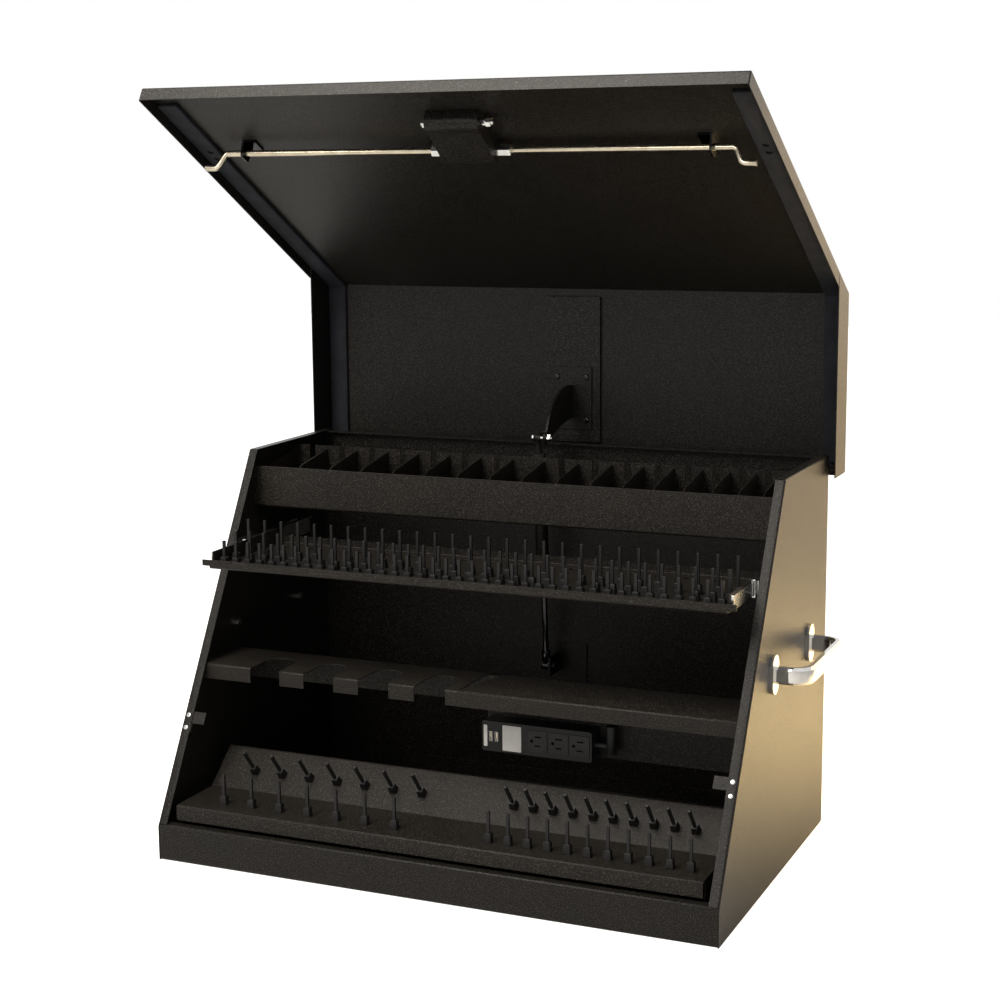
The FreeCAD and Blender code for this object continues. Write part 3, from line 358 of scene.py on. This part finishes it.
def moulded(name, dark, light, roughness, grain, depth):
    """Moulded plastic or foam with a fine even grain."""
    material, tree, shader = node_material(name)
    shader.inputs["Specular IOR Level"].default_value = 0.25
    vector = coordinates(tree)
    colour = ramp(tree, noise(tree, vector, scale=45.0, detail=3.0), [(0.3, dark), (0.7, light)])
    tree.links.new(colour, shader.inputs["Base Color"])
    grains = cells(tree, vector, grain)
    tree.links.new(spread(tree, grains, roughness - 0.05, roughness + 0.1), shader.inputs["Roughness"])
    tree.links.new(bump(tree, grains, depth), shader.inputs["Normal"])
    return material


# Darkest and lightest tone and roughness of each finish, then the streaks of metal, or the scale and
# the depth of the grain of plastic and foam
PLATED = {
    "zinc": ("Bright zinc", (0.55, 0.55, 0.54), (0.68, 0.68, 0.66), 0.24, 0.08),
    "brass_zinc": ("Yellow zinc", (0.50, 0.44, 0.33), (0.62, 0.55, 0.42), 0.26, 0.08),
    "chrome": ("Chrome", (0.60, 0.585, 0.56), (0.70, 0.685, 0.66), 0.06, 0.02),
    "black_rod": ("Blackened rod", (0.030, 0.030, 0.032), (0.055, 0.055, 0.058), 0.16, 0.04),
}
MOULDED = {
    "black_plastic": ("Black plastic", (0.009, 0.009, 0.009), (0.013, 0.013, 0.013), 0.42, 1400.0, 0.03 * MM),
    "dark_plastic": ("Dark plastic", (0.009, 0.009, 0.0095), (0.014, 0.014, 0.0145), 0.3, 2200.0, 0.01 * MM),
    "pale_plate": ("Pale bare plate", (0.60, 0.59, 0.56), (0.68, 0.67, 0.64), 0.35, 2400.0, 0.005 * MM),
    "foam": ("Foam seal", (0.010, 0.011, 0.014), (0.02, 0.022, 0.028), 0.8, 900.0, 0.2 * MM),
}
BROWN_DARK, BROWN_LIGHT, BROWN_ROUGHNESS = (0.0075, 0.0063, 0.005), (0.011, 0.0092, 0.0073), 0.42
BLACK_LIGHTER = 1.35     # how much lighter the black coat's light patches are
MATERIALS = {}


def make_materials(look):
    """All finishes by the name of their slot."""
    black = tuple(look.paint_colour)
    lighter = tuple(part * BLACK_LIGHTER for part in black)
    MATERIALS["powder_black"] = powder_coat("Black powder coat", black, lighter, look.paint_roughness, look)
    MATERIALS["powder_brown"] = powder_coat("Dark brown powder coat", BROWN_DARK, BROWN_LIGHT,
                                            BROWN_ROUGHNESS, look)
    for slot, finish in PLATED.items():
        MATERIALS[slot] = plated(*finish)
    for slot, finish in MOULDED.items():
        MATERIALS[slot] = moulded(*finish)


# Values that a user may change

class WorkstationLook(bpy.types.PropertyGroup):
    """Colours and sizes of the finishes"""
    paint_colour: bpy.props.FloatVectorProperty(
        name="Paint", description="Colour of the black powder coat", subtype="COLOR",
        default=(0.0065, 0.0056, 0.0046), min=0.0, max=1.0)
    paint_roughness: bpy.props.FloatProperty(
        name="Paint roughness", description="How broad the paint's highlights are",
        default=0.3, min=0.1, max=0.9)
    paint_gloss: bpy.props.FloatProperty(
        name="Paint gloss", description="Strength of the paint's reflections",
        default=0.15, min=0.0, max=1.0)
    grain_size: bpy.props.FloatProperty(
        name="Grain size", description="Width of the powder coat's grains in millimetres",
        default=0.8, min=0.2)
    edge_radius: bpy.props.FloatProperty(
        name="Edge radius", description="Rounding of the sheet metal's edges", subtype="DISTANCE",
        default=0.0004, min=0.0)


class WorkstationStage(bpy.types.PropertyGroup):
    """Camera, floor and lamps"""
    camera_place: bpy.props.FloatVectorProperty(
        name="Camera place", description="Where the camera stands", subtype="TRANSLATION",
        default=(0.99892, -2.30573, 0.90358))
    azimuth: bpy.props.FloatProperty(
        name="Azimuth", description="Camera's turn about the vertical", subtype="ANGLE",
        default=math.radians(24.4643))
    elevation: bpy.props.FloatProperty(
        name="Elevation", description="How far the camera looks down", subtype="ANGLE",
        default=math.radians(9.8311))
    roll: bpy.props.FloatProperty(
        name="Roll", description="Camera's tilt about its own view line", subtype="ANGLE",
        default=math.radians(-0.655))
    lens: bpy.props.FloatProperty(
        name="Lens", description="Focal length in millimetres", default=70.37, min=10)
    shift_x: bpy.props.FloatProperty(name="Shift X", description="Sideways lens shift", default=0.04)
    shift_y: bpy.props.FloatProperty(name="Shift Y", description="Upright lens shift", default=-0.003)
    fill: bpy.props.FloatProperty(
        name="Fill", description="Strength of the even light from all around", default=0.35, min=0.0)
    floor_white: bpy.props.FloatProperty(
        name="Floor white", description="How far the floor is lifted to white where it is seen",
        default=0.95, min=0.0)
    key: bpy.props.FloatProperty(
        name="Key", description="Power of the large lamp in front and above", subtype="POWER",
        default=90.0, min=0.0)
    warm: bpy.props.FloatProperty(
        name="Warm side lamp", description="Power of the warm lamp on the right", subtype="POWER",
        default=4.3, min=0.0)
    edge: bpy.props.FloatProperty(
        name="Edge lamp", description="Power of the strip above the open lid's edge", subtype="POWER",
        default=3.5, min=0.0)
    floor_warm: bpy.props.FloatProperty(
        name="Warm floor lamp", description="Power of the lamp that warms the floor beside the case",
        subtype="POWER", default=13.0, min=0.0)


# Stage

FLOOR_SIZE = 16.0
FLOOR_DROP = 0.5 * MM    # from the base to the floor
SENSOR_WIDTH = 36.0      # millimetres
WHITE = (1.0, 1.0, 1.0, 1.0)
CREAM = (1.0, 0.98, 0.95, 1.0)
SOFT_WHITE, AMBER, GOLD = (1.0, 0.94, 0.86), (1.0, 0.68, 0.28), (1.0, 0.70, 0.30)


class WORKSTATION_OT_stage(bpy.types.Operator):
    """Lay the floor, hang the lamps and set up the camera"""
    bl_idname = "workstation.stage"
    bl_label = "Stage"

    def execute(self, context):
        look = context.scene.workstation_stage
        context.scene.view_settings.view_transform = "Standard"
        self.floor(look)
        self.world(look)
        self.lamps(look)
        self.camera(look)
        return {"FINISHED"}

    def floor(self, look):
        deselect_all()
        bpy.ops.mesh.primitive_plane_add(size=FLOOR_SIZE, location=(0, 0, -FLOOR_DROP))
        floor = bpy.context.object
        floor.name = "floor"
        material, tree, shader = node_material("Pale floor")
        patches = noise(tree, coordinates(tree), scale=3.0)
        colour = ramp(tree, patches, [(0.3, (0.90, 0.90, 0.89)), (0.7, (0.92, 0.92, 0.91))])
        tree.links.new(colour, shader.inputs["Base Color"])
        shader.inputs["Roughness"].default_value = 0.9
        shader.inputs["Specular IOR Level"].default_value = 0.0
        shader.inputs["Emission Color"].default_value = CREAM
        glow = self.seen(tree, unseen=0.0, mirrored=0.1, white=look.floor_white)
        tree.links.new(glow, shader.inputs["Emission Strength"])
        floor.data.materials.append(material)

    def world(self, look):
        world = bpy.data.worlds.new("Studio")
        bpy.context.scene.world = world
        world.use_nodes = True
        tree = world.node_tree
        background = tree.nodes["Background"]
        background.inputs["Color"].default_value = WHITE
        strength = self.seen(tree, unseen=look.fill, mirrored=1.0, white=1.0)
        tree.links.new(strength, background.inputs["Strength"])

    def seen(self, tree, unseen, mirrored, white):
        """One value for light on the object, one for what metal and glass show, one for the camera."""
        path = tree.nodes.new("ShaderNodeLightPath")
        either = tree.nodes.new("ShaderNodeMath")
        either.operation = "MAXIMUM"
        tree.links.new(path.outputs["Is Glossy Ray"], either.inputs[0])
        tree.links.new(path.outputs["Is Transmission Ray"], either.inputs[1])
        direct = spread(tree, path.outputs["Is Camera Ray"], 0.0, white - unseen)
        total = tree.nodes.new("ShaderNodeMath")
        total.operation = "ADD"
        tree.links.new(spread(tree, either.outputs[0], unseen, mirrored), total.inputs[0])
        tree.links.new(direct, total.inputs[1])
        return total.outputs[0]

    def lamps(self, look):
        """Hangs each lamp by its name, place, aim, width, height, power, colour and spread in degrees."""
        lamps = (
            ("key_lamp", (-0.76, -2.0, 2.6), (-0.35, -0.75, 0.4), 1.0, 2.5, look.key, SOFT_WHITE, 180),
            ("warm_lamp", (0.84, 0.86, 0.51), (0.38, -0.05, 0.42), 0.9, 1.0, look.warm, AMBER, 180),
            ("edge_lamp", (-0.15, -0.36, 1.27), (-0.15, -0.2, 0.985), 0.95, 0.14, look.edge, SOFT_WHITE, 180),
            ("floor_lamp", (0.82, 0.72, 1.0), (0.82, 0.70, 0.0), 0.5, 0.9, look.floor_warm, GOLD, 70),
        )
        for name, place, aim, width, height, power, colour, degrees in lamps:
            data = bpy.data.lights.new(name, "AREA")
            data.shape = "RECTANGLE"
            data.size = width
            data.size_y = height
            data.energy = power
            data.color = colour
            data.spread = math.radians(degrees)
            lamp = bpy.data.objects.new(name, data)
            bpy.context.collection.objects.link(lamp)
            lamp.location = place
            lamp.rotation_euler = (Vector(aim) - Vector(place)).to_track_quat("-Z", "Y").to_euler()
            lamp.visible_camera = False

    def camera(self, look):
        data = bpy.data.cameras.new("photo_camera")
        data.lens = look.lens
        data.sensor_width = SENSOR_WIDTH
        data.shift_x = look.shift_x
        data.shift_y = look.shift_y
        camera = bpy.data.objects.new("photo_camera", data)
        bpy.context.collection.objects.link(camera)
        turn = Euler((math.pi / 2 - look.elevation, 0.0, look.azimuth)).to_matrix()
        turn = turn @ Matrix.Rotation(look.roll, 3, "Z")
        camera.matrix_world = Matrix.Translation(look.camera_place) @ turn.to_4x4()
        bpy.context.scene.camera = camera


# Finishes of the construction's own nodes

# Rounding of the cast and bent pieces, which are softer than the sheet's edges
ROUNDED = {"side_pull_left": 2.2 * MM, "side_pull_right": 2.2 * MM, "turn_handle": 1.4 * MM,
           "handle_rose": 1.0 * MM, "latch_body": 1.2 * MM}
WELD_WITHIN = 0.01 * MM
SHARP = math.radians(38)  # edges that turn more than this are rounded


class WORKSTATION_OT_finishes(bpy.types.Operator):
    """Give every construction node its finish and rounded edges"""
    bl_idname = "workstation.finishes"
    bl_label = "Finishes"

    def execute(self, context):
        look = context.scene.workstation_look
        make_materials(look)
        slots = {part["node"]: part["material_slot"] for part in frame["record"]["subparts"]}
        for name, node in frame["nodes"].items():
            node.data.materials.clear()
            blackened = name.startswith("rod_guide")
            node.data.materials.append(MATERIALS["black_rod" if blackened else slots[name]])
            weld = node.modifiers.new("Weld", "WELD")
            weld.merge_threshold = WELD_WITHIN
            bevel = node.modifiers.new("Soft edges", "BEVEL")
            bevel.width = ROUNDED.get(name, look.edge_radius)
            bevel.segments = 4 if name in ROUNDED else 2
            bevel.limit_method = "ANGLE"
            bevel.angle_limit = SHARP
            bevel.harden_normals = True
        return {"FINISHED"}


# Small hardware in its places

RIVETS = 14              # on each leaf
RIVET_RADIUS = 3.2 * MM
RIVET_CUT = 0.6 * MM     # how far above its middle the rivet's ball is cut
RIVET_END = 30 * MM      # from the leaf's end to the first rivet
RIVET_EDGE = 11 * MM     # from the leaf's free edge
CASE_LEAF_FACE = 1.4 * MM
LID_LEAF_FACE = 0.6 * MM


class WORKSTATION_OT_hinge_rivets(bpy.types.Operator):
    """Round-headed rivets along both leaves of the rear hinge"""
    bl_idname = "workstation.hinge_rivets"
    bl_label = "Hinge rivets"

    def execute(self, context):
        for node, body in (("hinge_leaf_case", "case"), ("hinge_leaf_lid", "lid")):
            rivets = copies_joined(self.head(), self.places(node))
            finish_piece(rivets, node + "_rivets", body, MATERIALS["zinc"])
        return {"FINISHED"}

    def head(self):
        """The top of a small ball, cut flat where it meets the leaf."""
        deselect_all()
        bpy.ops.mesh.primitive_uv_sphere_add(segments=16, ring_count=8, radius=RIVET_RADIUS)
        bpy.ops.object.mode_set(mode="EDIT")
        bpy.ops.mesh.select_all(action="SELECT")
        bpy.ops.mesh.bisect(plane_co=(0, 0, RIVET_CUT), plane_no=(0, 0, 1), use_fill=True, clear_inner=True)
        bpy.ops.object.mode_set(mode="OBJECT")
        return bpy.context.object

    def places(self, node):
        """Evenly along the case's leaf, facing back, or along the lid's leaf, facing down."""
        low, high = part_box(node)
        span = high.x - low.x - 2 * RIVET_END
        places = []
        for i in range(RIVETS):
            x = low.x + RIVET_END + span * i / (RIVETS - 1)
            if node == "hinge_leaf_case":
                places.append(toward((x, low.y + CASE_LEAF_FACE, low.z + RIVET_EDGE), (0, 1, 0)))
            else:
                places.append(toward((x, high.y - RIVET_EDGE, low.z + LID_LEAF_FACE), (0, 0, -1)))
        return places


class WORKSTATION_OT_strike_screws(bpy.types.Operator):
    """Two pan-head screws through the slanted flange into each strike"""
    bl_idname = "workstation.strike_screws"
    bl_label = "Strike screws"

    def execute(self, context):
        head = pan_head(radius=3.3 * MM, height=2.0 * MM, recess=1.7 * MM)
        places = [toward(point, (0, -COS, SIN)) for point in strike_screw_places()]
        screws = copies_joined(head, places)
        finish_piece(screws, "strike_screws", "case", MATERIALS["zinc"])
        return {"FINISHED"}


BRACKET_THICK = 3 * MM
BRACKET_SCREW_X = 22 * MM
BRACKET_SCREW_Z = (0.535, 0.596)


class WORKSTATION_OT_bracket_screws(bpy.types.Operator):
    """Four pan-head screws that hold the strut bracket to the lid"""
    bl_idname = "workstation.bracket_screws"
    bl_label = "Strut bracket screws"

    def execute(self, context):
        head = pan_head(radius=4.2 * MM, height=2.6 * MM, recess=2.1 * MM)
        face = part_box("strut_channel")[0].y - BRACKET_THICK
        places = [toward((x, face, z), (0, -1, 0))
                  for x in (-BRACKET_SCREW_X, BRACKET_SCREW_X) for z in BRACKET_SCREW_Z]
        screws = copies_joined(head, places)
        finish_piece(screws, "bracket_screws", "lid", MATERIALS["black_rod"])
        return {"FINISHED"}


SET_SCREW_END = 6 * MM   # from the coupler's end
SET_SCREW_PROUD = 0.2 * MM


class WORKSTATION_OT_set_screws(bpy.types.Operator):
    """A grub screw through the lower flat of each rod's coupler"""
    bl_idname = "workstation.set_screws"
    bl_label = "Coupler set screws"

    def execute(self, context):
        low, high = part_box("latch_hub")
        axis_y = (low.y + high.y) / 2
        places = [toward((x, axis_y, low.z - SET_SCREW_PROUD), (0, 0, -1))
                  for x in (low.x + SET_SCREW_END, high.x - SET_SCREW_END)]
        screws = copies_joined(set_screw(radius=2.0 * MM, height=1.8 * MM), places)
        finish_piece(screws, "set_screws", "latch", MATERIALS["zinc"])
        return {"FINISHED"}


PORT_SIDE = 4 * MM       # from the block's middle to each port's
PORT_WALL = 0.4 * MM
PORT_DEEP = 3.4 * MM
SHELL_SIZE = (4.3 * MM, 3.8 * MM, 12.9 * MM)
TONGUE_SIZE = (1.4 * MM, 3.2 * MM, 9.8 * MM)
TONGUE_BACK = 2.0 * MM   # from the port's face to the tongue's middle


class WORKSTATION_OT_charging_ports(bpy.types.Operator):
    """Steel shells and brass tongues inside the two charging ports"""
    bl_idname = "workstation.charging_ports"
    bl_label = "Charging ports"

    def execute(self, context):
        low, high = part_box("strip_usb")
        middle = (low + high) / 2
        places = [Matrix.Translation((middle.x + side, low.y, middle.z)) for side in (-PORT_SIDE, PORT_SIDE)]
        shells = copies_joined(self.shell(), places)
        finish_piece(shells, "port_shells", "case", MATERIALS["zinc"])
        tongues = copies_joined(self.tongue(), places)
        finish_piece(tongues, "port_tongues", "case", MATERIALS["brass_zinc"])
        return {"FINISHED"}

    def block(self, size, back):
        deselect_all()
        bpy.ops.mesh.primitive_cube_add(size=1.0, location=(0, back, 0), scale=size)
        block = bpy.context.object
        apply_place(block)
        return block

    def shell(self):
        """A thin box, open to the front."""
        shell = self.block(SHELL_SIZE, SHELL_SIZE[1] / 2)
        bpy.ops.object.mode_set(mode="EDIT")
        select_faces(shell, lambda normal: normal.y < -0.9)
        bpy.ops.mesh.inset(thickness=PORT_WALL)
        bpy.ops.mesh.extrude_region_move(TRANSFORM_OT_translate={"value": (0, PORT_DEEP, 0)})
        bpy.ops.object.mode_set(mode="OBJECT")
        soften(shell, 0.1 * MM)
        return shell

    def tongue(self):
        tongue = self.block(TONGUE_SIZE, TONGUE_BACK)
        soften(tongue, 0.3 * MM, segments=3)
        return tongue


# Left, right, lower and upper edge of each bare plate on the power strip
PLATES = ((0.0350, 0.0610, 0.1465, 0.1805), (0.0085, 0.0135, 0.1500, 0.1785))
PLATE_CORNER = 1.2 * MM
PLATE_THICK = 0.3 * MM


class WORKSTATION_OT_bare_plates(bpy.types.Operator):
    """Thin pale plates on the power strip, with nothing on them"""
    bl_idname = "workstation.bare_plates"
    bl_label = "Bare plates"

    def execute(self, context):
        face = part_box("strip_box")[0].y
        plates = joined([self.plate(*edges, face) for edges in PLATES])
        finish_piece(plates, "bare_plates", "case", MATERIALS["pale_plate"])
        return {"FINISHED"}

    def plate(self, x0, x1, z0, z1, face):
        deselect_all()
        bpy.ops.mesh.primitive_plane_add(size=1.0, rotation=(math.pi / 2, 0, 0),
                                         location=((x0 + x1) / 2, face, (z0 + z1) / 2))
        plate = bpy.context.object
        plate.scale = (x1 - x0, z1 - z0, 1.0)
        apply_place(plate)
        bpy.ops.object.mode_set(mode="EDIT")
        bpy.ops.mesh.select_all(action="SELECT")
        bpy.ops.mesh.bevel(offset=PLATE_CORNER, segments=4, affect="VERTICES")
        bpy.ops.mesh.select_all(action="SELECT")
        bpy.ops.mesh.extrude_region_move(TRANSFORM_OT_translate={"value": (0, -PLATE_THICK, 0)})
        bpy.ops.object.mode_set(mode="OBJECT")
        return plate


SEAL_ROUND = 1.4 * MM
DENT_RADIUS = 4.2 * MM
DENT_TALL = 4.0 * MM
DENT_OUT = 0.6 * MM      # from the screw's seat to the dent's middle


class WORKSTATION_OT_foam_seals(bpy.types.Operator):
    """Soft rounded foam strips in place of the lid's plain seals"""
    bl_idname = "workstation.foam_seals"
    bl_label = "Foam seals"

    def execute(self, context):
        node = frame["nodes"]["lid_gaskets"]
        seals = node.copy()
        seals.data = node.data.copy()
        seals.parent = None
        seals.modifiers.clear()
        context.collection.objects.link(seals)
        activate(seals)
        bpy.ops.object.mode_set(mode="EDIT")
        bpy.ops.mesh.select_all(action="SELECT")
        bpy.ops.mesh.remove_doubles(threshold=WELD_WITHIN)
        bpy.ops.mesh.dissolve_limited(angle_limit=math.radians(1))
        bpy.ops.object.mode_set(mode="OBJECT")
        soften(seals, SEAL_ROUND, segments=3)
        cut_away(seals, self.dents())
        finish_piece(seals, "foam_seals", "lid", MATERIALS["foam"])
        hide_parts("lid_gaskets")
        return {"FINISHED"}

    def dents(self):
        """Where the heads of the strikes' screws press into the seals when the lid is shut."""
        outward = Vector((0, SIN, COS))
        dents = []
        for point in strike_screw_places():
            bpy.ops.mesh.primitive_cylinder_add(vertices=24, radius=DENT_RADIUS, depth=DENT_TALL)
            dent = bpy.context.object
            dent.data.transform(toward(opened(point) + outward * DENT_OUT, outward))
            dents.append(dent)
        return joined(dents)


STEPS = ["stage", "finishes", "hinge_rivets", "strike_screws", "bracket_screws", "set_screws",
         "charging_ports", "bare_plates", "foam_seals"]


class WORKSTATION_PT_panel(bpy.types.Panel):
    """The steps in the order in which they run"""
    bl_idname = "WORKSTATION_PT_panel"
    bl_label = "Tool workstation"
    bl_space_type = "VIEW_3D"
    bl_region_type = "UI"
    bl_category = "Workstation"

    def draw(self, context):
        for step in STEPS:
            self.layout.operator("workstation." + step)


CLASSES = [WorkstationLook, WorkstationStage, WORKSTATION_OT_stage, WORKSTATION_OT_finishes,
           WORKSTATION_OT_hinge_rivets, WORKSTATION_OT_strike_screws, WORKSTATION_OT_bracket_screws,
           WORKSTATION_OT_set_screws, WORKSTATION_OT_charging_ports, WORKSTATION_OT_bare_plates,
           WORKSTATION_OT_foam_seals, WORKSTATION_PT_panel]


def register():
    for kind in CLASSES:
        bpy.utils.register_class(kind)
    bpy.types.Scene.workstation_look = bpy.props.PointerProperty(type=WorkstationLook)
    bpy.types.Scene.workstation_stage = bpy.props.PointerProperty(type=WorkstationStage)


def unregister():
    del bpy.types.Scene.workstation_look
    del bpy.types.Scene.workstation_stage
    for kind in reversed(CLASSES):
        bpy.utils.unregister_class(kind)


def main():
    register()
    for step in STEPS:
        getattr(bpy.ops.workstation, step)()


if __name__ == "__main__":
    main()
